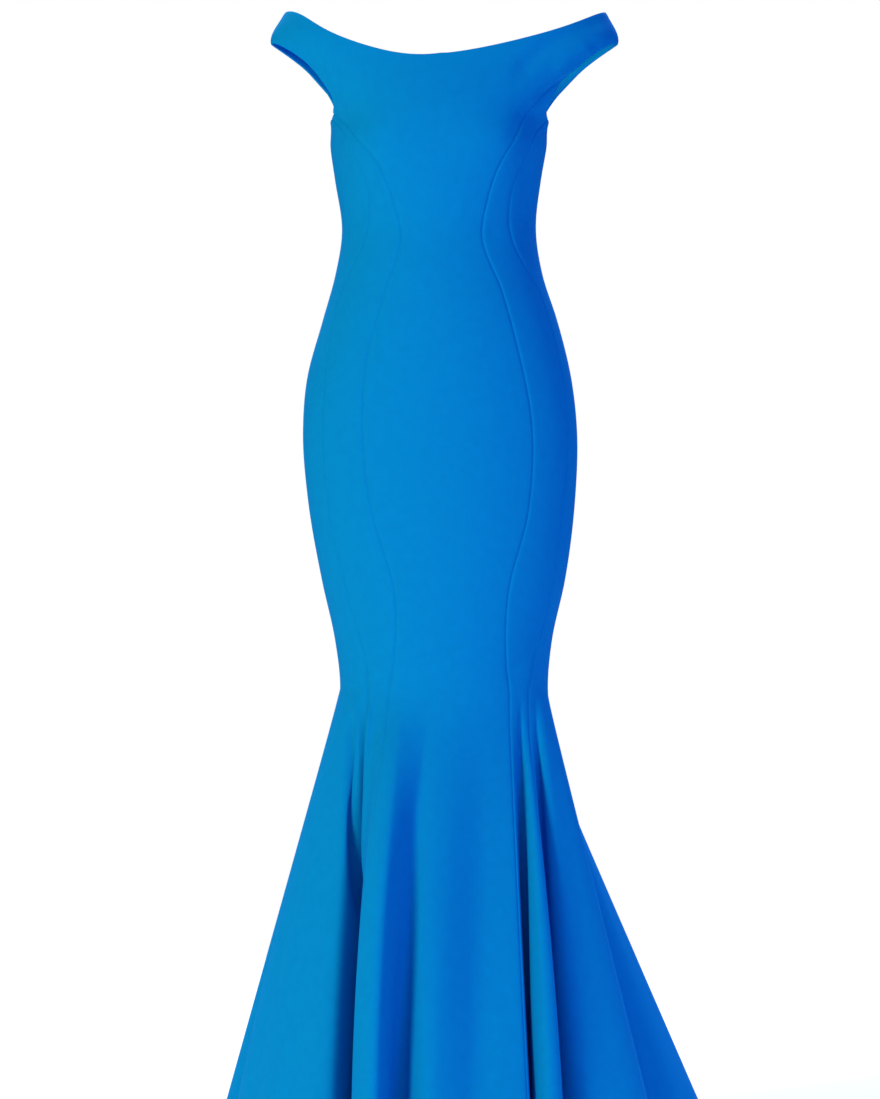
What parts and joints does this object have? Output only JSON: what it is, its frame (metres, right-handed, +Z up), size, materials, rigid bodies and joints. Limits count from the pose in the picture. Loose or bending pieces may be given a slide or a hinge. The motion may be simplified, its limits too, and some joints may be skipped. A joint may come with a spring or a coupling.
{
  "type": "off-the-shoulder mermaid gown",
  "caption": "Full-length off-the-shoulder gown in heavy stretch crepe: arm bands cut in one with the bodice, princess seams, close fit to the knee and a fluted mermaid skirt, in its worn hollow form.",
  "frame": {"origin": "middle of the chest at the level of the arm bands, where the upper arms and chest hold the gown", "axes": "+Z up, the front faces -Y, +X is the wearer's left"},
  "size_m": [0.6981, 0.7113, 1.5306],
  "materials": {
    "crepe": "matte heavy stretch crepe",
    "tape": "woven zip tape",
    "zip_metal": "enamelled to match the cloth"
  },
  "bodies": {
    "gown": {"front_centre": "crepe", "front_side_left": "crepe", "front_side_right": "crepe", "side_left": "crepe", "side_right": "crepe", "back_left": "crepe", "back_right": "crepe", "zip_tape": "tape", "zip_slider": "zip_metal"},
    "pull_tab": {"zip_tab": "zip_metal"}
  },
  "joints": [
    {"name": "tab_hinge", "type": "hinge", "parent": "gown", "child": "pull_tab", "pos_m": [0.00556, 0.11176, -0.0265], "axis": [1, 0, 0], "range_deg": [0, 165]}
  ]
}
